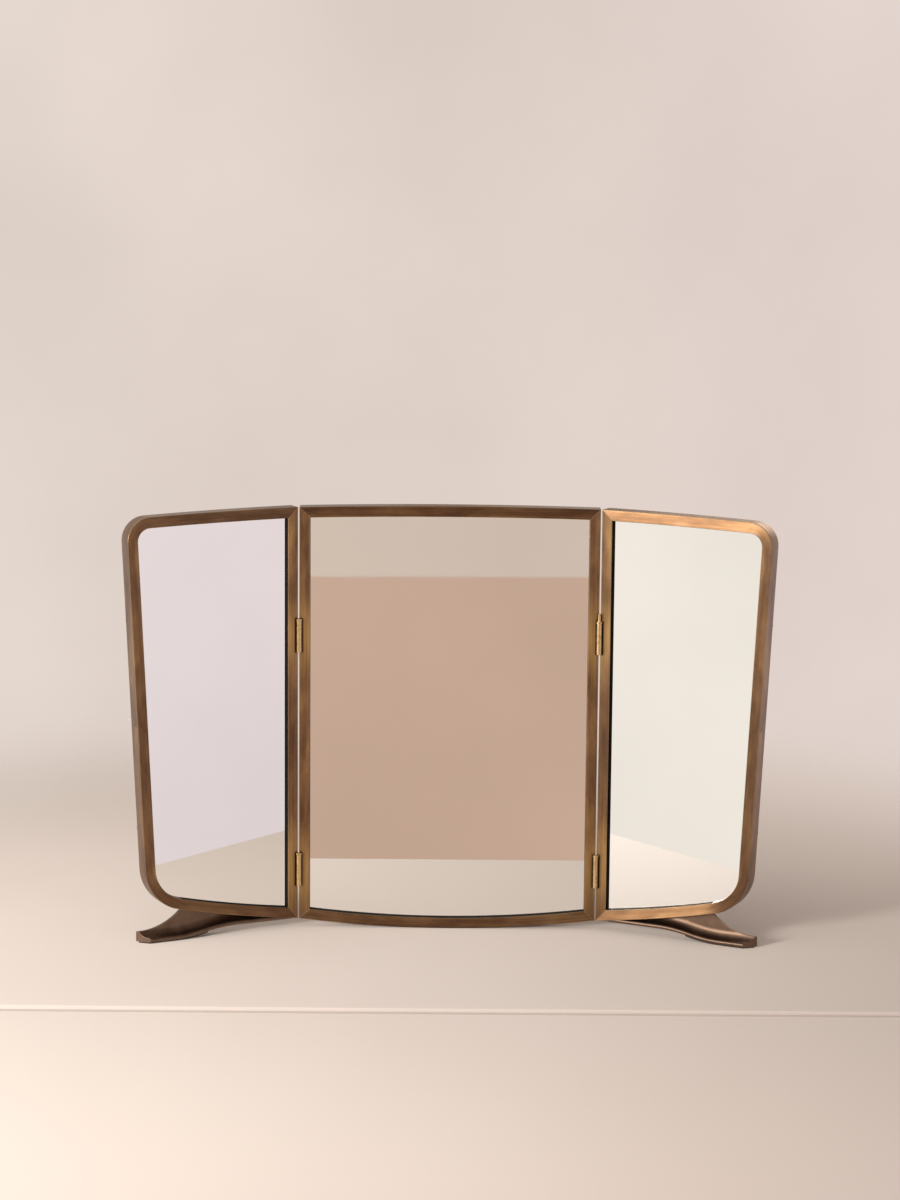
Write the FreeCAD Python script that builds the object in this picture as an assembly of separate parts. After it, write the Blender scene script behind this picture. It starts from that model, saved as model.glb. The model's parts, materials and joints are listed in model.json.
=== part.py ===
import FreeCAD, Part
import math
import os
from FreeCAD import Vector as V

os.makedirs("parts", exist_ok=True)

# A tri-fold table mirror: a centre panel and two wings, hinged at the sides and folded forward.
# Construction frame: x to the right, y backwards from the panels' front faces, z up from the
# bottom corners at the hinge sides. The right wing is built flat beside the centre panel, then
# turned about its hinge line, and the left wing is its mirror image. All sizes are millimetres.

# Centre panel
centre_width = 355.0
side_height = 498.0
top_bow = 2.3
bottom_bow = 11.0

# Wings: widths are from the hinge-side edge, at the top corner and at the bottom corner's height
wing_top_width = 214.0
wing_bottom_width = 190.0
wing_top_drop = 4.4
wing_top_corner = 28.0
wing_bottom_corner = 53.0
rest_fold = 26.0

# Rebated frame section
frame_depth = 21.0
face_width = 12.7
wall = 4.0
lip_depth = 5.0
edge_break = 0.5

# Glass, tape and board in the rebate: the board fills what the clips and irons behind it leave
panel_play = 0.5
tape_thick = 0.6
glass_thick = 3.0
rear_space = 6.4

# Hinges
panel_gap = 0.6
hinge_heights = (61.0, 345.0)
hinge_line_ahead = 2.1
barrel_height = 40.0
barrel_radius = 3.2
bore_radius = 2.0
pin_clearance = 0.05
washer_thick = 0.5
end_play = 0.1
leaf_thick = 1.0
leaf_reach = 14.0
leaf_parting = 0.3
mortise_play = 0.1
scallop_play = 0.3
knuckle_relief = 0.35
rim_height = 2.4
rim_proud = 0.5
rim_groove = (0.35, 0.6)
pin_proud = 0.6
pin_edge = 0.9
raised_pin = 8.0

# Board clips and corner irons
clip_thick = 1.2
clip_width = 11.0
clip_toe = 11.0
clip_edge = 0.6
stile_clip_from_corner = 125.0
rail_clip_from_corner = 90.0
iron_thick = 1.4
iron_leg = 22.0
iron_gap = 0.3
iron_screw_at = 15.0

# Feet: stations are measured along the wing from the hinge line
foot_start = 6.0
foot_bend_start = 78.0
foot_level_length = 41.0
foot_tip_overhang = 11.0
foot_end_slant = 13.0
foot_end_height = 12.0
foot_crest = 143.0
foot_crest_rise = 1.0
foot_top_radius = 72.0
foot_setback = 2.0
foot_taper = 4.0
foot_taper_start = 110.0
nose_radius = 2.6
cove_radius = 10.0
foot_screws_at = (34.0, 80.0)
foot_screw_from_back = 4.0
foot_screw_grip = 3.4
foot_bore_radius = 3.3
pad_thick = 1.5
pad_start = 115.0
pad_margin = 2.5

AXIS_Y = V(0, 1, 0)
AXIS_Z = V(0, 0, 1)
hinge_x = centre_width / 2 + panel_gap / 2
hinge_y = -hinge_line_ahead
wing_edge = centre_width / 2 + panel_gap
rim_radius = barrel_radius + rim_proud
glass_front = lip_depth + tape_thick
board_front = glass_front + glass_thick
board_back = frame_depth - rear_space
leaf_recess = leaf_thick + leaf_parting / 2 - panel_gap / 2
foot_depth = frame_depth - foot_setback
foot_tip_depth = foot_depth - foot_taper
foot_back_tip = wing_bottom_width + foot_tip_overhang
foot_front_tip = foot_back_tip - foot_end_slant
foot_bend_end = foot_back_tip - foot_level_length
overrun = 60.0

# Cutters run this far past what they cut, and two sizes nearer than tiny are the same
past = 1.0
tiny = 1e-4

# Screws: shank radius, head radius, head height, length under the head
thread_clearance = 0.02
tip_cover = 0.25
leaf_screw = (1.0, 2.0, leaf_thick, wall - leaf_recess - tip_cover)
clip_screw = (1.0, 1.9, 1.3, 7.2)
iron_screw = (0.9, 1.7, 1.0, iron_thick + wall - tip_cover)
foot_screw = (1.5, 2.9, 1.5, foot_screw_grip + wall - tip_cover)
slot_width = 0.5
slot_depth = 0.5
head_round = 0.45
leaf_screw_depth = 9.0
leaf_screw_spread = 24.0


# ---- outlines and prisms ------------------------------------------------------------------
def bow_radius(half_chord, rise):
    return half_chord ** 2 / (2 * rise) + rise / 2


bottom_radius = bow_radius(centre_width / 2, bottom_bow)
bottom_centre = V(0, 0, bottom_radius - bottom_bow)
top_radius = bow_radius(centre_width / 2, top_bow)
top_centre = V(0, 0, side_height + top_bow - top_radius)
wing_top_radius = bow_radius(wing_top_width, wing_top_drop)
wing_top_centre = V(wing_edge, 0, side_height - wing_top_radius)


def prism(face, y_from, y_to):
    return face.translated(V(0, y_from, 0)).extrude(V(0, y_to - y_from, 0))


def polygon(points):
    # closed flat outline in the plane y = 0 from (x, z) pairs
    corners = [V(x, 0, z) for x, z in points]
    return Part.Face(Part.makePolygon(corners + corners[:1]))


def disc(centre, radius):
    return Part.Face(Part.Wire(Part.makeCircle(radius, centre, AXIS_Y)))


def bowed(blank, upper_centre, upper_radius):
    # the blank with its bottom and top edges cut to their long arcs
    lower = blank.common(disc(bottom_centre, bottom_radius))
    return lower.common(disc(upper_centre, upper_radius)).Faces[0]


def centre_outline():
    half = centre_width / 2
    low, high = -overrun, side_height + overrun
    return bowed(polygon([(-half, low), (half, low), (half, high), (-half, high)]), top_centre, top_radius)


wing_lean = (wing_top_width - wing_bottom_width) / side_height


def wing_outer_x(z):
    # the outer edge leans inwards on its way down
    return wing_edge + wing_bottom_width + wing_lean * z


def wing_outline():
    low, high = -overrun, side_height + overrun
    corners = [(wing_edge, low), (wing_outer_x(low), low), (wing_outer_x(high), high), (wing_edge, high)]
    slab = prism(bowed(polygon(corners), wing_top_centre, wing_top_radius), 0, past)
    for radius, upper in ((wing_top_corner, True), (wing_bottom_corner, False)):
        edge = outer_corner_edge(slab, upper)
        slab = slab.makeFillet(radius, [edge])
    return front_face(slab)


def outer_corner_edge(slab, upper):
    sign = 1 if upper else -1
    along_y = [e for e in slab.Edges if abs(e.Vertexes[0].Y - e.Vertexes[-1].Y) > tiny]
    return max(along_y, key=lambda e: e.Vertexes[0].X + sign * e.Vertexes[0].Z)


def front_face(solid):
    flat = [f for f in solid.Faces if f.BoundBox.YMax - f.BoundBox.YMin < tiny]
    return min(flat, key=lambda f: f.BoundBox.YMin)


def inset(face, distance):
    return face.makeOffset2D(-distance).Faces[0]


def ring(face, outer_inset, inner_inset, y_from, y_to):
    outer = inset(face, outer_inset) if outer_inset else face
    return prism(outer, y_from, y_to).cut(prism(inset(face, inner_inset), y_from, y_to))


# ---- frame section ------------------------------------------------------------------------
def bar_ring(outline):
    bar = ring(outline, 0, face_width, 0, frame_depth)
    return bar.cut(prism(inset(outline, wall), lip_depth, frame_depth))


def mitre_points(outline, x, z):
    # the mitre runs through the corners of the outer edge, the wall and the lip near (x, z)
    corners = []
    for distance in (0, wall, face_width):
        face = inset(outline, distance) if distance else outline
        corners.append(min((v.Point for v in face.Vertexes), key=lambda p: p.distanceToPoint(V(x, 0, z))))
    step = corners[2] - corners[0]
    return [corners[0] - step] + corners + [corners[2] + step * 0.5]


def stile_boundary(outline, x):
    low, high = mitre_points(outline, x, 0), mitre_points(outline, x, side_height)
    return Part.makePolygon(low + high[::-1] + low[:1])


def eased(member, mitres):
    # breaks the long front edges and leaves the mitres sharp
    front = [e for e in member.Edges if e.BoundBox.YMax < tiny]
    long_edges = [e for e in front if not on_wire(middle_of(e), mitres)]
    return member.makeChamfer(edge_break, long_edges)


def middle_of(edge):
    return edge.valueAt((edge.FirstParameter + edge.LastParameter) / 2)


def on_wire(point, wire):
    return Part.Vertex(point).distToShape(wire)[0] < tiny


def frame_members(outline, stile_xs, cutters):
    # the mitred members of one frame: the stiles at the given x, then what is left of the ring
    bar, stiles = bar_ring(outline), []
    mitres = [stile_boundary(outline, x) for x in stile_xs]
    rest = bar
    for boundary in mitres:
        region = prism(Part.Face(boundary), -past, frame_depth + past)
        stiles.append(bar.common(region))
        rest = rest.cut(region)
    others = sorted(rest.Solids, key=lambda s: s.BoundBox.ZMin)
    lines = Part.makeCompound(mitres)
    return [bored(eased(piece.Solids[0], lines), cutters) for piece in stiles + others]


# ---- screws -------------------------------------------------------------------------------
def placed(shape, at, direction):
    # a shape built along +z from the origin, turned to the direction and moved to the point
    copy = shape.copy()
    copy.Placement = FreeCAD.Placement(at, FreeCAD.Rotation(AXIS_Z, direction))
    return copy


def flat_screw(size, at, direction):
    # countersunk head, flush with the point, shank running along the direction
    shank, head, head_height, length = size
    stem = Part.makeCylinder(shank, length, V(0, 0, head_height))
    body = Part.makeCone(head, shank, head_height).fuse(stem).removeSplitter()
    return placed(body, at, direction)


def flat_screw_hole(size, at, direction):
    shank, head, head_height, length = size
    grown = (shank + thread_clearance, head + thread_clearance, head_height, length + thread_clearance)
    return flat_screw(grown, at, direction)


def pan_screw(size, at, direction):
    # slotted round head that sits on the point, shank running along the direction
    shank, head, head_height, length = size
    crown = Part.makeCylinder(head, head_height, V(0, 0, -head_height))
    rim = [e for e in crown.Edges if e.BoundBox.ZMax < tiny - head_height]
    crown = crown.makeFillet(head_height * head_round, rim)
    slot = Part.makeBox(2 * head, slot_width, slot_depth, V(-head, -slot_width / 2, -head_height))
    body = crown.cut(slot).fuse(Part.makeCylinder(shank, length)).removeSplitter()
    return placed(body, at, direction)


def shank_hole(size, at, direction):
    shank, head, head_height, length = size
    return placed(Part.makeCylinder(shank + thread_clearance, length + thread_clearance), at, direction)


# ---- panel: glass, tape, board, clips, corner irons -----------------------------------------
def glazing(outline):
    sheet = inset(outline, wall + panel_play)
    tape = prism(sheet, lip_depth, glass_front).cut(prism(inset(outline, face_width), lip_depth, glass_front))
    return {"glazing_tape": tape,
            "mirror_glass": prism(sheet, glass_front, board_front),
            "backing_board": prism(sheet, board_front, board_back)}


def board_clip():
    # a strip bent twice: foot on the frame's back face, riser, toe on the board. It is built with
    # the frame's outer edge at x = 0 and the panel towards +x.
    bend = wall + panel_play + clip_thick
    top = frame_depth + clip_thick
    toe_end = bend + clip_toe
    loop = [(clip_edge, frame_depth), (bend - clip_thick, frame_depth), (bend - clip_thick, board_back),
            (toe_end, board_back), (toe_end, board_back + clip_thick), (bend, board_back + clip_thick),
            (bend, top), (clip_edge, top)]
    corners = [V(x, y, -clip_width / 2) for x, y in loop]
    strip = Part.Face(Part.makePolygon(corners + corners[:1])).extrude(V(0, 0, clip_width))
    return strip.cut(shank_hole(clip_screw, V(wall / 2, frame_depth - past, 0), AXIS_Y))


def arc_z(x, centre, radius, upper):
    rise = math.sqrt(radius ** 2 - (x - centre.x) ** 2)
    return centre.z + rise if upper else centre.z - rise


def arc_station(x, centre, radius, upper):
    # a point on a rail's outer edge, with the direction square to the edge into the panel
    edge = V(x, 0, arc_z(x, centre, radius, upper))
    return edge, (centre - edge).normalize()


def clips_and_screws(stations):
    # each station is a point on the outer edge and the direction into the panel
    clips, screws, holes = [], [], []
    for edge, inward in stations:
        angle = math.degrees(math.atan2(-inward.z, inward.x))
        turn = FreeCAD.Placement(edge, FreeCAD.Rotation(AXIS_Y, angle))
        clip = board_clip()
        clip.Placement = turn
        clips.append(clip)
        seat = turn.multVec(V(wall / 2, frame_depth + clip_thick, 0))
        screws.append(pan_screw(clip_screw, seat, -AXIS_Y))
        holes.append(shank_hole(clip_screw, seat, -AXIS_Y))
    return clips, screws, holes


def corner_irons(outline, corners):
    strip = ring(outline, wall, wall + iron_thick, board_back + iron_gap, frame_depth - iron_gap)
    irons = []
    for x, z in corners:
        reach = iron_leg + wall
        window = Part.makeBox(2 * reach, frame_depth, 2 * reach, V(x - reach, 0, z - reach))
        irons.append(strip.common(window))
    return irons


def iron_screw_seats(x, z, toward, upper, centre, radius):
    # one seat on the stile's leg and one on the rail's leg, with the directions into the walls
    y = (board_back + frame_depth) / 2
    sign = 1 if upper else -1
    lift = wall + iron_thick
    stile_seat = V(x + toward * lift, y, z - sign * iron_screw_at)
    rail_edge, inward = arc_station(x + toward * iron_screw_at, centre, radius, upper)
    rail_seat = rail_edge + inward * lift + V(0, y, 0)
    return [(stile_seat, V(-toward, 0, 0)), (rail_seat, -inward)]


# ---- hinge --------------------------------------------------------------------------------
knuckle_length = (barrel_height - washer_thick - end_play) / 2


def knuckle_span(middle, upper):
    if upper:
        return middle + barrel_height / 2 - knuckle_length, middle + barrel_height / 2
    return middle - barrel_height / 2, middle - barrel_height / 2 + knuckle_length


def on_hinge(radius, low, high):
    return Part.makeCylinder(radius, high - low, V(hinge_x, hinge_y, low))


def leaf_screw_seats(middle, side):
    face = hinge_x + side * leaf_parting / 2
    heights = (middle - leaf_screw_spread / 2, middle + leaf_screw_spread / 2)
    return [(V(face, leaf_screw_depth, z), V(side, 0, 0)) for z in heights]


def leaf(middle, side, upper):
    # side -1 is screwed to the centre stile, +1 to the wing's stile
    low, high = knuckle_span(middle, upper)
    near = leaf_parting / 2
    x_low = hinge_x + (near if side > 0 else -near - leaf_thick)
    plate_front = hinge_y + rim_radius + knuckle_relief
    tongue_front = hinge_y + (bore_radius + barrel_radius) / 2
    plate = Part.makeBox(leaf_thick, leaf_reach - plate_front, barrel_height,
                         V(x_low, plate_front, middle - barrel_height / 2))
    tongue = Part.makeBox(leaf_thick, plate_front - tongue_front, high - low, V(x_low, tongue_front, low))
    barrel = on_hinge(barrel_radius, low, high)
    if upper:
        barrel = rimmed(barrel, high)
    body = plate.fuse(tongue).fuse(barrel).cut(on_hinge(bore_radius, low, high))
    for seat, direction in leaf_screw_seats(middle, side):
        body = body.cut(flat_screw_hole(leaf_screw, seat, direction))
    return body.removeSplitter()


def rimmed(barrel, high):
    # a proud rim at the top of the barrel, with a shallow groove under it
    depth, height = rim_groove
    rim_low = high - rim_height
    groove = on_hinge(barrel_radius + past, rim_low - height, rim_low)
    groove = groove.cut(on_hinge(barrel_radius - depth, rim_low - height, rim_low))
    return barrel.cut(groove).fuse(on_hinge(rim_radius, rim_low, high))


def mortise(middle, side):
    depth = leaf_recess + panel_gap / 2
    x_low = hinge_x if side > 0 else hinge_x - depth
    return Part.makeBox(depth, past + leaf_reach + mortise_play, barrel_height + 2 * mortise_play,
                        V(x_low, -past, middle - barrel_height / 2 - mortise_play))


def scallop(middle):
    # the barrel lies in a hollow cut across the front corners of both stiles
    reach = barrel_height / 2 + scallop_play
    return on_hinge(rim_radius + scallop_play, middle - reach, middle + reach)


def hinge_washer(middle):
    low = knuckle_span(middle, False)[1]
    high = low + washer_thick
    return on_hinge(barrel_radius, low, high).cut(on_hinge(bore_radius, low, high))


def hinge_pin(middle, lift):
    # a plain pin with a rounded top; a lifted one stands out of the upper knuckle
    low = middle - barrel_height / 2 + lift
    high = low + barrel_height + pin_proud
    pin = on_hinge(bore_radius - pin_clearance, low, high)
    return pin.makeFillet(pin_edge, [e for e in pin.Edges if e.BoundBox.ZMin > high - tiny])


# ---- foot ---------------------------------------------------------------------------------
sole_z = pad_thick - bottom_bow


def sole_edges(start, end):
    # the sole in the plane y = 0: level, an S of two equal arcs, level again
    bend_start, bend_end = V(hinge_x + foot_bend_start, 0, 0), V(hinge_x + foot_bend_end, 0, sole_z)
    middle = (bend_start + bend_end) * 0.5
    half_run, half_fall = (bend_end.x - bend_start.x) / 2, -sole_z / 2
    radius = bow_radius(half_run, half_fall)

    def point(x):
        if x < middle.x:
            return V(x, 0, -radius + math.sqrt(radius ** 2 - (x - bend_start.x) ** 2))
        return V(x, 0, sole_z + radius - math.sqrt(radius ** 2 - (bend_end.x - x) ** 2))
    first, second = point((bend_start.x + middle.x) / 2), point((bend_end.x + middle.x) / 2)
    return [Part.makeLine(V(hinge_x + start, 0, 0), bend_start),
            Part.Arc(bend_start, first, middle).toShape(),
            Part.Arc(middle, second, bend_end).toShape(),
            Part.makeLine(bend_end, V(hinge_x + end, 0, sole_z))]


def along_sole(section_face):
    spine = Part.Wire(sole_edges(-overrun, foot_back_tip + overrun))
    sweep = Part.BRepOffsetAPI.MakePipeShell(spine)
    sweep.setBiNormalMode(AXIS_Y)
    sweep.add(section_face.OuterWire, False, False)
    sweep.build()
    sweep.makeSolid()
    return sweep.shape()


def section(points_and_arcs):
    # closed outline in the plane x = spine start, from (y, z) pairs; a triple is an arc's (mid, end)
    x = hinge_x - overrun
    here = points_and_arcs[0]
    edges = []
    for item in points_and_arcs[1:] + points_and_arcs[:1]:
        if len(item) == 4:
            mid, end = item[:2], item[2:]
            edges.append(Part.Arc(V(x, *here), V(x, *mid), V(x, *end)).toShape())
            here = end
        else:
            edges.append(Part.makeLine(V(x, *here), V(x, *item)))
            here = item
    return Part.Face(Part.Wire(edges))


def hollow_middle(high_end, low_end, radius):
    # middle of the arc that hangs below the chord between two points
    chord = low_end - high_end
    sag = radius - math.sqrt(radius ** 2 - (chord.Length / 2) ** 2)
    below = V(chord.z, 0, -chord.x).normalize()
    return (high_end + low_end) * 0.5 + below * sag


def foot_body(outline):
    edges = sole_edges(foot_start, foot_back_tip)
    heel = V(hinge_x + foot_start, 0, 0)
    toe = V(hinge_x + foot_back_tip, 0, sole_z)
    toe_top = toe + AXIS_Z * foot_end_height
    crest_x = hinge_x + foot_crest
    crest = V(crest_x, 0, arc_z(crest_x, bottom_centre, bottom_radius, False) + foot_crest_rise)
    bend = hollow_middle(crest, toe_top, foot_top_radius)
    inside = V(crest.x, 0, crest.z + overrun / 2)
    inside_heel = V(heel.x, 0, inside.z)
    edges += [Part.makeLine(toe, toe_top), Part.Arc(toe_top, bend, crest).toShape()]
    edges += [Part.makeLine(crest, inside), Part.makeLine(inside, inside_heel), Part.makeLine(inside_heel, heel)]
    blank = prism(Part.Face(Part.Wire(edges)), 0, foot_depth).cut(prism(outline, -past, frame_depth))

    # nose and cove are one long cutter that follows the sole
    r = nose_radius
    shelf = 2 * r
    diagonal = math.sqrt(0.5)
    cove_mid = (r + cove_radius * diagonal, shelf + cove_radius * (1 - diagonal))
    cove_end = (r + cove_radius, shelf + cove_radius)
    cutter = section([(-r, -r), (r, -r), (r, 0), (0, r, r, shelf), cove_mid + cove_end,
                      (cove_end[0], overrun), (-r, overrun)])
    blank = blank.cut(along_sole(cutter))
    return blank.common(foot_plan(0))


def foot_plan(margin):
    # plan shape of the foot: the back tapers to the tip and the end is cut at a slant
    x = hinge_x
    corners = [(x, 0), (x + foot_front_tip - margin, 0),
               (x + foot_back_tip - margin, foot_tip_depth - margin),
               (x + foot_taper_start, foot_depth - margin), (x, foot_depth - margin)]
    loop = [V(px, py, -overrun) for px, py in corners]
    return Part.Face(Part.makePolygon(loop + loop[:1])).extrude(V(0, 0, 2 * overrun))


def foot_pieces(outline):
    body = foot_body(outline)
    screws, holes = [], []
    for station in foot_screws_at:
        x = hinge_x + station
        rail_z = arc_z(x, bottom_centre, bottom_radius, False)
        seat = V(x, foot_depth - foot_screw_from_back, rail_z - foot_screw_grip)
        screws.append(pan_screw(foot_screw, seat, AXIS_Z))
        holes.append(shank_hole(foot_screw, seat, AXIS_Z))
        body = body.cut(holes[-1])
        body = body.cut(Part.makeCylinder(foot_bore_radius, overrun, seat, -AXIS_Z))
    strip = section([(nose_radius, -pad_thick), (foot_depth, -pad_thick), (foot_depth, 0), (nose_radius, 0)])
    pad = along_sole(strip).common(foot_plan(pad_margin))
    pad = pad.cut(Part.makeBox(hinge_x + pad_start, 2 * overrun, 2 * overrun, V(0, -overrun, -overrun)))
    return body, screws, holes, pad


# ---- assemble -----------------------------------------------------------------------------
def group(shapes):
    return Part.makeCompound(shapes)


def bored(piece, cutters):
    for cutter in cutters:
        piece = piece.cut(cutter)
    return piece


def mirrored(shape):
    return shape.mirror(V(0, 0, 0), V(1, 0, 0))


def both_sides(shapes):
    return shapes + [mirrored(s) for s in shapes]


def build_centre():
    outline = centre_outline()
    half = centre_width / 2
    levels = (stile_clip_from_corner, side_height - stile_clip_from_corner)
    across = (rail_clip_from_corner - half, half - rail_clip_from_corner)
    stations = [(V(-half, 0, z), V(1, 0, 0)) for z in levels]
    stations += [(V(half, 0, z), V(-1, 0, 0)) for z in levels]
    stations += [arc_station(x, bottom_centre, bottom_radius, False) for x in across]
    stations += [arc_station(x, top_centre, top_radius, True) for x in across]
    clips, screws, clip_holes = clips_and_screws(stations)
    irons = corner_irons(outline, [(x, z) for x in (-half, half) for z in (0, side_height)])
    seats = []
    for x, toward in ((-half, 1), (half, -1)):
        seats += iron_screw_seats(x, 0, toward, False, bottom_centre, bottom_radius)
        seats += iron_screw_seats(x, side_height, toward, True, top_centre, top_radius)
    iron_screws = [pan_screw(iron_screw, at, direction) for at, direction in seats]
    iron_holes = [shank_hole(iron_screw, at, direction) for at, direction in seats]
    irons = [bored(iron, iron_holes) for iron in irons]

    leaf_holes, leaf_screws = [], []
    for middle in hinge_heights:
        leaf_holes += [mortise(middle, -1), scallop(middle)]
        for at, direction in leaf_screw_seats(middle, -1):
            leaf_screws.append(flat_screw(leaf_screw, at, direction))
            leaf_holes.append(flat_screw_hole(leaf_screw, at, direction))
    cutters = clip_holes + iron_holes + both_sides(leaf_holes)
    left, right, bottom, top = frame_members(outline, (-half, half), cutters)
    nodes = {"centre_left_stile": left, "centre_right_stile": right,
             "centre_bottom_rail": bottom, "centre_top_rail": top,
             "centre_board_clips": group(clips), "centre_clip_screws": group(screws),
             "centre_corner_irons": group(irons), "centre_iron_screws": group(iron_screws),
             "fixed_leaf_screws": group(both_sides(leaf_screws)),
             "hinge_washers": group(both_sides([hinge_washer(m) for m in hinge_heights]))}
    for name, shape in glazing(outline).items():
        nodes["centre_" + name] = shape
    for middle, level in zip(hinge_heights, ("lower", "upper")):
        fixed, pin = leaf(middle, -1, False), hinge_pin(middle, 0)
        right_pin = hinge_pin(middle, raised_pin) if level == "upper" else pin
        nodes[f"right_{level}_fixed_leaf"] = fixed
        nodes[f"right_{level}_hinge_pin"] = right_pin
        nodes[f"left_{level}_fixed_leaf"] = mirrored(fixed)
        nodes[f"left_{level}_hinge_pin"] = mirrored(pin)
    return nodes


def build_wing():
    outline = wing_outline()
    low, high = stile_clip_from_corner, side_height - stile_clip_from_corner
    middle_x = wing_edge + rail_clip_from_corner
    leaning = V(-1, 0, wing_lean).normalize()
    stations = [(V(wing_edge, 0, z), V(1, 0, 0)) for z in (low, high)]
    stations += [(V(wing_outer_x(z), 0, z), leaning) for z in (low, high)]
    stations += [arc_station(middle_x, bottom_centre, bottom_radius, False),
                 arc_station(middle_x, wing_top_centre, wing_top_radius, True)]
    clips, screws, clip_holes = clips_and_screws(stations)
    irons = corner_irons(outline, [(wing_edge, arc_z(wing_edge, bottom_centre, bottom_radius, False)),
                                   (wing_edge, side_height)])
    seats = iron_screw_seats(wing_edge, 0, 1, False, bottom_centre, bottom_radius)
    seats += iron_screw_seats(wing_edge, side_height, 1, True, wing_top_centre, wing_top_radius)
    iron_screws = [pan_screw(iron_screw, at, direction) for at, direction in seats]
    iron_holes = [shank_hole(iron_screw, at, direction) for at, direction in seats]
    irons = [bored(iron, iron_holes) for iron in irons]
    foot, foot_screws, foot_holes, pad = foot_pieces(outline)

    leaf_holes, leaf_screws = [], []
    for middle in hinge_heights:
        leaf_holes += [mortise(middle, 1), scallop(middle)]
        for at, direction in leaf_screw_seats(middle, 1):
            leaf_screws.append(flat_screw(leaf_screw, at, direction))
            leaf_holes.append(flat_screw_hole(leaf_screw, at, direction))
    cutters = clip_holes + iron_holes + foot_holes + leaf_holes
    stile, bow = frame_members(outline, (wing_edge,), cutters)
    nodes = {"hinge_stile": stile, "frame_bow": bow,
             "board_clips": group(clips), "clip_screws": group(screws),
             "corner_irons": group(irons), "iron_screws": group(iron_screws),
             "moving_leaf_screws": group(leaf_screws),
             "foot": foot, "foot_screws": group(foot_screws), "foot_pad": pad}
    nodes.update(glazing(outline))
    for middle, level in zip(hinge_heights, ("lower", "upper")):
        nodes[level + "_moving_leaf"] = leaf(middle, 1, True)
    return nodes


def folded(shape):
    turned = shape.copy()
    turned.rotate(V(hinge_x, hinge_y, 0), AXIS_Z, -rest_fold)
    return turned


nodes = build_centre()
for name, shape in build_wing().items():
    right = folded(shape)
    nodes["right_wing_" + name] = right
    nodes["left_wing_" + name] = mirrored(right)

# The model stands on z = 0, with its origin in the middle of its plan box
plan = Part.makeCompound(list(nodes.values())).optimalBoundingBox(False, False)
home = V(0, -(plan.YMin + plan.YMax) / 2, bottom_bow)
for name, shape in nodes.items():
    final = shape.copy()
    final.translate(home)
    final.exportStep(f"parts/{name}.step")
print("hinge line at x, y:", hinge_x, hinge_y + home.y, "front face y:", home.y)
print(len(nodes), "nodes; box", plan)
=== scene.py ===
import json
import math

import bmesh
import bpy
from mathutils import Matrix, Vector


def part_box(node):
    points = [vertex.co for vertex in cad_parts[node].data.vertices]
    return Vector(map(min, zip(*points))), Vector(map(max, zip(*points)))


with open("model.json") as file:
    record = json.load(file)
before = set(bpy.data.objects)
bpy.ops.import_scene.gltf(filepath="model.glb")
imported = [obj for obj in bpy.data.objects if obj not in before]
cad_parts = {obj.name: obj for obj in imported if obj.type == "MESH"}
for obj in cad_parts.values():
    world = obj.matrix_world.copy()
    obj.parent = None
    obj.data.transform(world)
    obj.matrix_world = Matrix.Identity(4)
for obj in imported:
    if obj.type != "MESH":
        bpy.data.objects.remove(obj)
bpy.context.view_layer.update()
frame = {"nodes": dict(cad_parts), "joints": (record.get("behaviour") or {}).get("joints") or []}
mm = 0.001


# ---- camera ---------------------------------------------------------------------------------
# A 90 mm lens about 3.5 m in front of the mirror and just under a metre above the shelf, turned
# down to the middle of the glass, as for a catalogue picture.
lens = 90.0
camera_at = Vector((-0.0066, -3.4705, 0.9489))
pitch, yaw, roll = (math.radians(a) for a in (8.903, 0.118, 0.4995))

forward = Vector((math.sin(yaw) * math.cos(pitch), math.cos(yaw) * math.cos(pitch), -math.sin(pitch)))
level = Vector((math.cos(yaw), -math.sin(yaw), 0))
upward = level.cross(forward)
right = level * math.cos(roll) + upward * math.sin(roll)
camera = bpy.data.objects.new("camera", bpy.data.cameras.new("camera"))
camera.data.lens = lens
camera.data.clip_end = 50
turned = Matrix((right, right.cross(forward), -forward)).transposed()
camera.matrix_world = Matrix.Translation(camera_at) @ turned.to_4x4()
bpy.context.scene.collection.objects.link(camera)
bpy.context.scene.camera = camera


# ---- frames ---------------------------------------------------------------------------------
# Solid drawn brass bars with a rebate for the glass, mitred and brazed at the hinge corners and
# bent round the outer ones. They are brushed along their length, then darkened and lacquered.
def linear(code):
    channels = [int(code[i:i + 2], 16) / 255 for i in (1, 3, 5)]
    return [c / 12.92 if c <= 0.04045 else ((c + 0.055) / 1.055) ** 2.4 for c in channels] + [1.0]


def fill(tree, node, sockets):
    # a node's inputs, by name or in order: a number, a colour, an output, or another node, which
    # stands for its first working output
    for name, value in sockets.items() if isinstance(sockets, dict) else enumerate(sockets):
        if isinstance(value, bpy.types.Node):
            value = next(output for output in value.outputs if output.enabled)
        if isinstance(value, bpy.types.NodeSocket):
            tree.links.new(value, node.inputs[name])
        else:
            node.inputs[name].default_value = value


def add(tree, kind, sockets=(), **settings):
    # one node with its settings and inputs
    made = tree.nodes.new("ShaderNode" + kind)
    for name, value in settings.items():
        setattr(made, name, value)
    fill(tree, made, sockets)
    return made


def new_finish(name):
    material = bpy.data.materials.new(name)
    material.use_nodes = True
    tree = material.node_tree
    tree.nodes.clear()
    surface = add(tree, "BsdfPrincipled")
    add(tree, "OutputMaterial", {"Surface": surface})
    return material, tree, surface, add(tree, "TexCoord").outputs["Object"]


def coat(material, *names):
    for name in names:
        for slot in frame["nodes"][name].material_slots:
            slot.material = material


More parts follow.
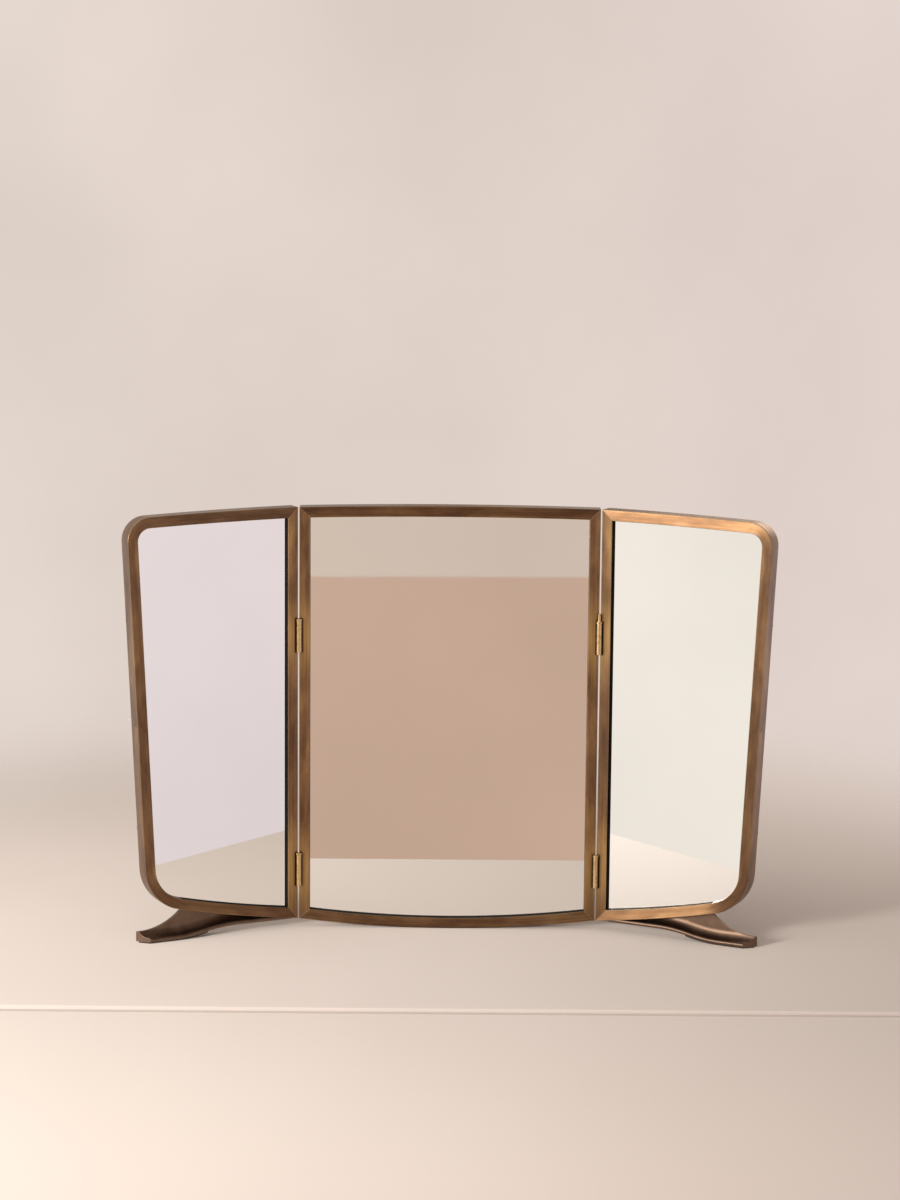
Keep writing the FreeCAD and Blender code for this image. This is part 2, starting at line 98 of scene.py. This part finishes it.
# The panels' own sizes, which the grain follows
face_width = 12.7 * mm
fold = math.radians(26)
centre_half = 177.5 * mm
wing_edge = 178.1 * mm
wing_width = 190 * mm
wing_lean = 24 / 498
wing_top_radius = 5206 * mm
side_height = 498 * mm
bottom_radius = 1438 * mm
bottom_bow = 11 * mm
corner_radii = {"bottom": 53 * mm, "top": 28 * mm}
hinge_line = Vector([j for j in frame["joints"] if j["child"] == "right_wing"][0]["pos_m"])
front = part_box("centre_top_rail")[0].y

# Antique brass from its darkest patches to its lightest, a painted highlight on the stiles near the hinges,
# the bare metal at its edges, lightened as a painted highlight, painted shade in its corners, and black
# painted shade inside the lip
patina = {0.34: "#563D2C", 0.46: "#73553C", 0.56: "#8A6A4B", 0.70: "#AE8C5A"}
painted_highlight_brass = "#C9A469"
brass_bare_highlight = "#E0C69C"
painted_shade_colour = "#35241A"
painted_shade_black = "#0B0908"

# Each pattern's width across the bar, length along it, and its own slice of the noise. The fine
# scratches are drawn coarser than a brush leaves them, so that they show.
fine_scratch = (0.35 * mm, 60 * mm, 0.0)
broad_scratch = (2.1 * mm, 180 * mm, 50 * mm)
dark_patch = (22 * mm, 75 * mm, 310 * mm)
tone_shares = (0.6, 0.25, 0.15)

# How far and how strongly the painted highlight on the stiles reaches from the hinges, and where the painted
# shade and the black painted shade inside the lip start and are full
hinge_heights = (61 * mm, 345 * mm)
hinge_reach = 70 * mm
highlight_share = 1.1
barrel_half = 20 * mm
shade_above_barrel = 1.5 * mm
shade_beside_pin = (5.2 * mm, 4.0 * mm)
shade_depth = 6 * mm
black_from_edge = (0.25 * mm, 0.1 * mm)
black_behind_face = (0.8 * mm, 1.1 * mm)


def flat_point(tree, place, panel):
    # the point in the unfolded panel: x from the middle of the mirror, y back from the front
    # face, z up from the panel's lower corners
    if panel == "centre":
        return add(tree, "Mapping", {"Vector": place, "Location": (0, -front, -bottom_bow)})
    side = -1 if panel == "left_wing" else 1
    home = Vector((hinge_line.x, hinge_line.y, 0))
    shift = home - Matrix.Rotation(fold, 3, "Z") @ home - Vector((0, front, bottom_bow))
    return add(tree, "Mapping", {"Vector": place, "Location": shift, "Rotation": (0, 0, fold),
                                 "Scale": (side, 1, 1)})


def upright_bar(tree, point):
    # along the bar, across it, and the turn that its grain makes from upright
    axes = add(tree, "SeparateXYZ", {"Vector": point})
    return axes.outputs["Z"], axes.outputs["X"], 0.0


def level_bar(tree, point):
    axes = add(tree, "SeparateXYZ", {"Vector": point})
    return axes.outputs["X"], axes.outputs["Z"], math.pi / 2


def bowed_bar(tree, point):
    # the bottom rail is measured from its own long arc
    along, up, turn = level_bar(tree, point)
    square = add(tree, "Math", (along, along), operation="MULTIPLY")
    return along, add(tree, "Math", (square, -0.5 / bottom_radius, up), operation="MULTIPLY_ADD"), turn


def bent_bar(tree, point):
    # the bar that runs round both outer corners, as a lower and an upper half
    axes = add(tree, "SeparateXYZ", {"Vector": point})
    x, z = axes.outputs["X"], axes.outputs["Z"]
    leant = add(tree, "Math", (z, -wing_lean, x), operation="MULTIPLY_ADD")
    square = add(tree, "Math", (x, x), operation="MULTIPLY")
    low_edge = add(tree, "Math", (square, 0.5 / bottom_radius, -bottom_bow), operation="MULTIPLY_ADD")
    reach = add(tree, "Math", (x, wing_edge), operation="SUBTRACT")
    square = add(tree, "Math", (reach, reach), operation="MULTIPLY")
    high_edge = add(tree, "Math", (square, -0.5 / wing_top_radius, side_height), operation="MULTIPLY_ADD")
    halves = []
    for corner, above, below, sign in (("bottom", z, low_edge, 1), ("top", high_edge, z, -1)):
        radius = corner_radii[corner]
        inward = add(tree, "Math", (above, below), operation="SUBTRACT")
        # how far the point is past the corner's centre, outwards and up or down
        out = add(tree, "Math", (leant, wing_edge + wing_width - radius), operation="SUBTRACT")
        end = add(tree, "Math", (radius, inward), operation="SUBTRACT")
        bend_out, bend_end = (add(tree, "Math", (d, 0.0), operation="MAXIMUM") for d in (out, end))
        flat_out, flat_end = (add(tree, "Math", (d, 0.0), operation="MINIMUM") for d in (out, end))
        turn = add(tree, "Math", (bend_end, bend_out), operation="ARCTAN2")
        arm = add(tree, "VectorMath", (add(tree, "CombineXYZ", (bend_out, bend_end)),), operation="LENGTH")
        straight = add(tree, "Math", (flat_end, flat_out), operation="SUBTRACT")
        run = add(tree, "Math", (turn, radius, straight), operation="MULTIPLY_ADD")
        halves.append((add(tree, "Math", (run, sign), operation="MULTIPLY"),
                       add(tree, "Math", (radius, arm), operation="SUBTRACT"),
                       add(tree, "Math", (turn, sign), operation="MULTIPLY")))
    upper = add(tree, "Math", (z, side_height / 2), operation="GREATER_THAN")
    return [add(tree, "Mix", {"Factor": upper, "A": low, "B": high}) for low, high in zip(*halves)]


def worn_and_highlit_edge(tree, radius, worn_from, worn_to):
    # the shading of a softly rounded edge, and how far it is rubbed bare and lightened as a painted
    # highlight
    soft = add(tree, "Bevel", {"Radius": radius}, samples=4)
    sharp = add(tree, "NewGeometry").outputs["True Normal"]
    facing = add(tree, "VectorMath", (soft, sharp), operation="DOT_PRODUCT")
    return soft, add(tree, "MapRange", {"Value": facing, "From Min": worn_from, "From Max": worn_to})


def stile_highlight_and_shade(tree, point, painted_shade, broad):
    # a painted highlight lightens the stiles near the hinges, unevenly with the broad scratches, and a
    # painted shade darkens them beside the barrels
    axes = add(tree, "SeparateXYZ", {"Vector": point})
    gaps = [add(tree, "Math", (axes.outputs["Z"], height), operation="SUBTRACT") for height in hinge_heights]
    near = add(tree, "Math", [add(tree, "Math", (gap,), operation="ABSOLUTE") for gap in gaps],
               operation="MINIMUM")
    reached = add(tree, "MapRange", {"Value": near, "From Min": hinge_reach, "From Max": 0.0},
                  interpolation_type="SMOOTHSTEP")
    uneven = add(tree, "Math", (broad, highlight_share), operation="MULTIPLY")
    hinge_highlight = add(tree, "Math", (reached, uneven), operation="MULTIPLY")
    # painted shade on the stile faces beside the hinge barrels
    out = add(tree, "Math", (axes.outputs["X"],), operation="ABSOLUTE")
    from_pin = add(tree, "Math", (out, hinge_line.x), operation="SUBTRACT")
    off = add(tree, "Math", (from_pin,), operation="ABSOLUTE")
    level_with = add(tree, "MapRange", {"Value": near, "From Min": barrel_half + shade_above_barrel,
                                        "From Max": barrel_half})
    beside = add(tree, "MapRange", {"Value": off, "From Min": shade_beside_pin[0],
                                    "From Max": shade_beside_pin[1]})
    barrel_shade = add(tree, "Math", (beside, level_with), operation="MULTIPLY")
    return hinge_highlight, add(tree, "Math", (painted_shade, barrel_shade), operation="MAXIMUM")


def grain_tangent(tree, panel, turn):
    # highlights spread square to the grain, so the tangent is the way across the bar
    wide = add(tree, "Math", (turn,), operation="COSINE")
    high = add(tree, "Math", (turn,), operation="SINE")
    flat = add(tree, "CombineXYZ", {"X": wide, "Z": high})
    if panel != "centre":
        side = -1 if panel == "left_wing" else 1
        flat = add(tree, "VectorRotate", {"Vector": flat, "Angle": -fold}, rotation_type="Z_AXIS")
        flat = add(tree, "VectorMath", (flat, (side, 1, 1)), operation="MULTIPLY")
    return add(tree, "VectorTransform", {"Vector": flat}, vector_type="VECTOR", convert_from="OBJECT",
               convert_to="WORLD")


def brushed_brass(name, panel, route, outer_edge, inward):
    # antique brass: long fine scratches along the bar, uneven darkening, edges rubbed brighter and lightened
    # as a painted highlight, a painted highlight and painted shade near the hinges, and painted shade in
    # corners and inside the lip
    material, tree, surface, place = new_finish("brushed_antique_brass_" + name)
    point = flat_point(tree, place, panel)
    depth = add(tree, "SeparateXYZ", {"Vector": point}).outputs["Y"]
    along, across, turn = route(tree, point)
    on_bar = add(tree, "CombineXYZ", (along, across, depth))
    patterns = []
    for width, length, begin in (fine_scratch, broad_scratch, dark_patch):
        drawn = add(tree, "Mapping", {"Vector": on_bar, "Location": (0, 0, begin / width),
                                      "Scale": (1 / length, 1 / width, 1 / width)})
        patterns.append(add(tree, "TexNoise", {"Vector": drawn, "Scale": 1.0, "Detail": 3.0,
                                               "Roughness": 0.6}))
    fine, broad, patches = patterns
    mixed = add(tree, "CombineXYZ", (patches, broad, fine))
    tone = add(tree, "VectorMath", (mixed, tone_shares), operation="DOT_PRODUCT")
    dark_to_light = add(tree, "ValToRGB", {"Fac": tone})
    stops = dark_to_light.color_ramp.elements
    for stop, code in patina.items():
        stops.new(stop).color = linear(code)
    stops.remove(stops[0])
    stops.remove(stops[-1])

    soft, edge_wear_and_highlight = worn_and_highlit_edge(tree, 0.5 * mm, 0.995, 0.9)
    # painted shade: the colour darkens where ambient occlusion finds corners and recesses
    openness = add(tree, "AmbientOcclusion", {"Distance": shade_depth}, samples=4).outputs["AO"]
    painted_shade = add(tree, "MapRange", {"Value": openness, "From Min": 0.85, "From Max": 0.4})
    hinge_highlight = 0.0
    if route is upright_bar:
        hinge_highlight, painted_shade = stile_highlight_and_shade(tree, point, painted_shade, broad)
    # black painted shade on the lip's inner return, behind the front face, where the glass is set back
    inside = add(tree, "Math", (across, inward, -inward * outer_edge), operation="MULTIPLY_ADD")
    past_edge = add(tree, "MapRange", {"Value": inside, "From Min": face_width - black_from_edge[0],
                                       "From Max": face_width - black_from_edge[1]})
    behind = add(tree, "MapRange", {"Value": depth, "From Min": black_behind_face[0],
                                    "From Max": black_behind_face[1]})
    lip_painted_shade = add(tree, "Math", (past_edge, behind), operation="MULTIPLY")

    colour = dark_to_light
    bared_and_highlit = add(tree, "Math", (edge_wear_and_highlight, 0.8), operation="MULTIPLY")
    # over the patina go the painted highlight, the bare and highlit edges, the painted shade and the black
    # painted shade
    for share, code in ((hinge_highlight, painted_highlight_brass), (bared_and_highlit, brass_bare_highlight), (painted_shade, painted_shade_colour),
                        (lip_painted_shade, painted_shade_black)):
        colour = add(tree, "Mix", {"Factor": share, "A": colour, "B": linear(code)}, data_type="RGBA")
    gloss = add(tree, "MapRange", {"Value": fine, "To Min": 0.3, "To Max": 0.48})
    # the lacquer is clear and thin on the bars, and the black painted shade inside the lip is dead matt
    fill(tree, surface, {
        "Base Color": colour, "Metallic": 1.0, "Anisotropic": 0.85,
        "Roughness": add(tree, "Mix", {"Factor": lip_painted_shade, "A": gloss, "B": 1.0}),
        "Normal": add(tree, "Bump", {"Height": fine, "Strength": 0.35, "Distance": 0.03 * mm,
                                     "Normal": soft}),
        "Tangent": grain_tangent(tree, panel, turn),
        "Coat Weight": add(tree, "MapRange", {"Value": lip_painted_shade, "To Min": 0.15, "To Max": 0.0}),
        "Coat Roughness": 0.35})
    coat(material, name)


# each bar's panel, its run, its outer edge and the way from there to the glass
bars = {"centre_left_stile": ("centre", upright_bar, -centre_half, 1),
        "centre_right_stile": ("centre", upright_bar, centre_half, -1),
        "centre_bottom_rail": ("centre", bowed_bar, -bottom_bow, 1),
        "centre_top_rail": ("centre", level_bar, side_height, -1)}
for panel in ("left_wing", "right_wing"):
    bars[panel + "_hinge_stile"] = (panel, upright_bar, wing_edge, 1)
    bars[panel + "_frame_bow"] = (panel, bent_bar, 0.0, 1)
for name, bar in bars.items():
    brushed_brass(name, *bar)


# ---- mirror glass ---------------------------------------------------------------------------
# Three millimetre float glass, silvered on the back. It is clean and almost neutral, and it is
# flat to the eye but for a very slow ripple.
silver = "#F8F8F6"
ripple_length = 180 * mm
haze_scale = 14.0

material, tree, surface, place = new_finish("silvered_float_glass")
ripple = add(tree, "TexNoise", {"Vector": place, "Scale": 1 / ripple_length, "Detail": 1.0})
haze = add(tree, "TexNoise", {"Vector": place, "Scale": haze_scale, "Detail": 6.0, "Roughness": 0.65})
fill(tree, surface, {
    "Base Color": linear(silver), "Metallic": 1.0,
    "Roughness": add(tree, "MapRange", {"Value": haze, "From Min": 0.35, "From Max": 0.75,
                                        "To Min": 0.0, "To Max": 0.02}),
    "Normal": add(tree, "Bump", {"Height": ripple, "Strength": 0.2, "Distance": 0.2 * mm})})
coat(material, "centre_mirror_glass", "left_wing_mirror_glass", "right_wing_mirror_glass")


# ---- glazing tape ---------------------------------------------------------------------------
# Black foam tape between the lip and the glass, which stops the glass from rattling. Only its
# edge shows, as a fine dark line.
foam = "#0B0A09"
cell_size = 0.8 * mm

material, tree, surface, place = new_finish("black_foam_tape")
cells = add(tree, "TexVoronoi", {"Vector": place, "Scale": 1 / cell_size})
fill(tree, surface, {
    "Base Color": linear(foam), "Roughness": 0.9,
    "Normal": add(tree, "Bump", {"Height": cells, "Strength": 0.5, "Distance": 0.1 * mm})})
coat(material, "centre_glazing_tape", "left_wing_glazing_tape", "right_wing_glazing_tape")


# ---- backing boards -------------------------------------------------------------------------
# Six millimetre hardboard behind the glass, stained dark walnut brown. Pressed wood fibre shows
# as a short soft fleck, and the stain dries a little unevenly.
stain = "#4A3628"
stain_light = "#5E4735"
fibre_length = 5 * mm
fibre_width = 0.6 * mm
blotch_scale = 9.0

material, tree, surface, place = new_finish("stained_hardboard")
stretched = add(tree, "Mapping", {"Vector": place,
                                  "Scale": (1 / fibre_length, 1 / fibre_length, 1 / fibre_width)})
fibre = add(tree, "TexNoise", {"Vector": stretched, "Scale": 1.0, "Detail": 5.0})
blotch = add(tree, "TexNoise", {"Vector": place, "Scale": blotch_scale, "Detail": 3.0})
both = add(tree, "Math", (fibre, blotch), operation="ADD")
# fibre and blotch count for 0.6 each, and their sum runs from one stain to the other
spread = add(tree, "MapRange", {"Value": both, "From Min": 0.4 / 0.6, "From Max": 0.8 / 0.6})
fill(tree, surface, {
    "Base Color": add(tree, "Mix", {"Factor": spread, "A": linear(stain), "B": linear(stain_light)},
                      data_type="RGBA"),
    "Roughness": 0.62,
    "Normal": add(tree, "Bump", {"Height": fibre, "Strength": 0.3, "Distance": 0.1 * mm})})
coat(material, "centre_backing_board", "left_wing_backing_board", "right_wing_backing_board")


# ---- board clips, corner irons and their screws ---------------------------------------------
# Pressed steel strip and small steel screws, zinc plated. Bright zinc is grey with a faint
# yellow cast, and dulls in small clouds.
zinc = "#B9B4A6"
zinc_dull = "#8F8B80"
cloud_size = 6 * mm

material, tree, surface, place = new_finish("zinc_plated_steel")
clouds = add(tree, "TexNoise", {"Vector": place, "Scale": 1 / cloud_size, "Detail": 4.0})
fill(tree, surface, {
    "Base Color": add(tree, "Mix", {"Factor": clouds, "A": linear(zinc_dull), "B": linear(zinc)},
                      data_type="RGBA"),
    "Metallic": 1.0,
    "Roughness": add(tree, "MapRange", {"Value": clouds, "To Min": 0.25, "To Max": 0.5}),
    "Normal": add(tree, "Bevel", {"Radius": 0.2 * mm}, samples=4)})
for panel in ("centre", "left_wing", "right_wing"):
    coat(material, *(f"{panel}_{part}" for part in ("board_clips", "clip_screws", "corner_irons",
                                                    "iron_screws")))
coat(material, "left_wing_foot_screws", "right_wing_foot_screws")


# ---- hinges ---------------------------------------------------------------------------------
# Solid brass butt hinges with loose pins. The barrels are turned and polished and left bright,
# so they are more yellow than the frames and gather small dark smudges.
bright_brass = "#D9BC8C"
bright_brass_dull = "#A88658"
smudge_size = 4 * mm
ring_pitch = 0.4 * mm
ring_scale = 40.0

material, tree, surface, place = new_finish("polished_brass")
smudge = add(tree, "TexNoise", {"Vector": place, "Scale": 1 / smudge_size, "Detail": 5.0})
rings = add(tree, "Mapping", {"Vector": place, "Scale": (ring_scale, ring_scale, 1 / ring_pitch)})
turned = add(tree, "TexNoise", {"Vector": rings, "Scale": 1.0, "Detail": 2.0})
shade = add(tree, "MapRange", {"Value": smudge, "From Min": 0.15, "From Max": 0.55})
soft = add(tree, "Bevel", {"Radius": 0.25 * mm}, samples=4)
fill(tree, surface, {
    "Base Color": add(tree, "Mix", {"Factor": shade, "A": linear(bright_brass_dull),
                                    "B": linear(bright_brass)}, data_type="RGBA"),
    "Metallic": 1.0,
    "Roughness": add(tree, "MapRange", {"Value": smudge, "To Min": 0.24, "To Max": 0.16}),
    "Normal": add(tree, "Bump", {"Height": turned, "Strength": 0.1, "Distance": 0.01 * mm,
                                 "Normal": soft})})
coat(material, "hinge_washers", "fixed_leaf_screws")
for side in ("left", "right"):
    coat(material, f"{side}_wing_moving_leaf_screws")
    for hinge in ("lower", "upper"):
        coat(material, f"{side}_{hinge}_fixed_leaf", f"{side}_{hinge}_hinge_pin",
             f"{side}_wing_{hinge}_moving_leaf")


# ---- feet -----------------------------------------------------------------------------------
# Cast brass, filed and polished, then darkened to a brown bronze tone. It is a little duller
# than the frames, and the nose and the end's edges are rubbed bright and lightened as a painted highlight.
bronze = "#87705F"
bronze_dark = "#5A473D"
rubbed_highlight = "#CDB8A2"
cast_size = 12 * mm

material, tree, surface, place = new_finish("polished_bronzed_brass")
cast = add(tree, "TexNoise", {"Vector": place, "Scale": 1 / cast_size, "Detail": 5.0})
soft, edge_wear_and_highlight = worn_and_highlit_edge(tree, 0.7 * mm, 0.99, 0.85)
bared_and_highlit = add(tree, "Math", (edge_wear_and_highlight, 0.6), operation="MULTIPLY")
colour = add(tree, "Mix", {"Factor": cast, "A": linear(bronze_dark), "B": linear(bronze)}, data_type="RGBA")
fill(tree, surface, {
    "Base Color": add(tree, "Mix", {"Factor": bared_and_highlit, "A": colour, "B": linear(rubbed_highlight)}, data_type="RGBA"),
    "Metallic": 1.0,
    "Roughness": add(tree, "MapRange", {"Value": cast, "To Min": 0.36, "To Max": 0.5}),
    "Normal": add(tree, "Bump", {"Height": cast, "Strength": 0.1, "Distance": 0.2 * mm, "Normal": soft})})
coat(material, "left_wing_foot", "right_wing_foot")


# ---- sole pads ------------------------------------------------------------------------------
# Dark rubber sheet glued under each foot, cut with a knife. It is matt and slightly grainy.
rubber = "#2A2522"
speck_size = 1.2 * mm

material, tree, surface, place = new_finish("dark_rubber_sheet")
speck = add(tree, "TexNoise", {"Vector": place, "Scale": 1 / speck_size, "Detail": 3.0})
fill(tree, surface, {
    "Base Color": linear(rubber),
    "Roughness": add(tree, "MapRange", {"Value": speck, "To Min": 0.6, "To Max": 0.85}),
    "Normal": add(tree, "Bump", {"Height": speck, "Strength": 0.4, "Distance": 0.1 * mm})})
coat(material, "left_wing_foot_pad", "right_wing_foot_pad")


# ---- shelf ----------------------------------------------------------------------------------
# A plain pale plastered shelf with a rounded front edge, which the mirror stands on. It isn't
# part of the object, and away from the mirror it fades into the room, so it has no far edge.
shelf_front = -0.304
shelf_back = 1.4
shelf_half = 2.4
shelf_thick = 0.5
shelf_round = 6 * mm
plaster = "#E9E0DA"
plaster_shade = "#DFD5CE"
mottle_scale = 2.2
trowel_scale = 60.0
fade_near = 0.6
fade_far = 1.5

mesh = bmesh.new()
bmesh.ops.create_cube(mesh, size=1)
bmesh.ops.scale(mesh, vec=(2 * shelf_half, shelf_back - shelf_front, shelf_thick), verts=mesh.verts)
bmesh.ops.translate(mesh, vec=(0, (shelf_back + shelf_front) / 2, -shelf_thick / 2), verts=mesh.verts)
bmesh.ops.bevel(mesh, geom=[e for e in mesh.edges if all(v.co.z > -mm for v in e.verts)],
                offset=shelf_round, segments=6, affect="EDGES")
shelf = bpy.data.objects.new("shelf", bpy.data.meshes.new("shelf"))
mesh.to_mesh(shelf.data)
mesh.free()
shelf.data.shade_smooth()
bpy.context.scene.collection.objects.link(shelf)

material, tree, surface, place = new_finish("pale_plaster")
mottle = add(tree, "TexNoise", {"Vector": place, "Scale": mottle_scale, "Detail": 4.0})
trowel = add(tree, "TexNoise", {"Vector": place, "Scale": trowel_scale, "Detail": 5.0})
reach = add(tree, "VectorMath", (place,), operation="LENGTH")
fill(tree, surface, {
    "Base Color": add(tree, "Mix", {"Factor": mottle, "A": linear(plaster_shade), "B": linear(plaster)},
                      data_type="RGBA"),
    "Roughness": 0.75,
    "Normal": add(tree, "Bump", {"Height": trowel, "Strength": 0.12, "Distance": 1 * mm}),
    "Alpha": add(tree, "MapRange", {"Value": reach, "From Min": fade_far, "From Max": fade_near},
                 interpolation_type="SMOOTHSTEP")})
shelf.data.materials.append(material)


# ---- room and lamps -------------------------------------------------------------------------
# A pale plastered room with a tall window at the left, a warmer wall behind the camera and a
# dimmer upper right, then one low soft lamp at the front left and a weak one at the back.
room = {"left": "#F3EBE2", "behind": "#DFD0C7", "right": "#EBDFE0",
        "camera_low": "#CCAD9A", "camera_high": "#D6C4B6", "dim": "#7D6C60", "above": "#E9E0D8"}
# Directions are a unit vector's x, y or z, from where a change starts to where it ends
side_walls = (-0.7, 0.7)
camera_wall = (-0.82, -0.94)
wall_step = (-0.1475, -0.1465)
upper_room = (0.08, 0.35)
window = (-0.84, -0.92)
window_gain = 2.4
cloud_scale = 7.0
cloud_dark = 0.92
cloud_light = 1.05

world = bpy.data.worlds.new("studio")
world.use_nodes = True
bpy.context.scene.world = world
tree = world.node_tree
tree.nodes.clear()
around = add(tree, "TexCoord").outputs["Generated"]
x, y, z = add(tree, "SeparateXYZ", {"Vector": around}).outputs
sideways, sector, step, lifted = (
    add(tree, "MapRange", {"Value": axis, "From Min": start, "From Max": end})
    for axis, (start, end) in ((x, side_walls), (y, camera_wall), (z, wall_step), (z, upper_room)))
wall = add(tree, "ValToRGB", {"Fac": sideways})
stops = wall.color_ramp.elements
stops[0].color = linear(room["left"])
stops[1].color = linear(room["right"])
stops.new(0.5).color = linear(room["behind"])
far = add(tree, "Mix", {"Factor": step, "A": linear(room["camera_low"]), "B": linear(room["camera_high"])},
          data_type="RGBA")
low = add(tree, "Mix", {"Factor": sector, "A": wall, "B": far}, data_type="RGBA")
high = add(tree, "Mix", {"Factor": sideways, "A": linear(room["above"]), "B": linear(room["dim"])},
           data_type="RGBA")
sky = add(tree, "Mix", {"Factor": lifted, "A": low, "B": high}, data_type="RGBA")
clouded = add(tree, "TexNoise", {"Vector": around, "Scale": cloud_scale, "Detail": 5.0})
mottled = add(tree, "MapRange", {"Value": clouded, "From Min": 0.3, "From Max": 0.7,
                                 "To Min": cloud_dark, "To Max": cloud_light})
daylight = add(tree, "MapRange", {"Value": x, "From Min": window[0], "From Max": window[1],
                                  "To Min": 1.0, "To Max": window_gain})
strength = add(tree, "Math", (mottled, daylight), operation="MULTIPLY")
add(tree, "OutputWorld", {"Surface": add(tree, "Background", {"Color": sky, "Strength": strength})})

# name, place, size in metres, power in watts and colour; both are turned to the middle of the glass
glass_middle = Vector((0, 0, 0.25))
lamps = (("key", (-2.2, -2.3, 0.9), 0.6, 62.0, "#FFFBF4"),
         ("back", (1.2, 1.6, 1.6), 1.2, 12.0, "#FFF8F0"))
for name, place, size, power, tint in lamps:
    lamp = bpy.data.objects.new(name, bpy.data.lights.new(name, "AREA"))
    lamp.data.shape, lamp.data.size, lamp.data.energy = "SQUARE", size, power
    lamp.data.color = linear(tint)[:3]
    lamp.location = place
    lamp.rotation_euler = (glass_middle - lamp.location).to_track_quat("-Z", "Y").to_euler()
    bpy.context.scene.collection.objects.link(lamp)

bpy.context.scene.view_settings.view_transform = "Standard"
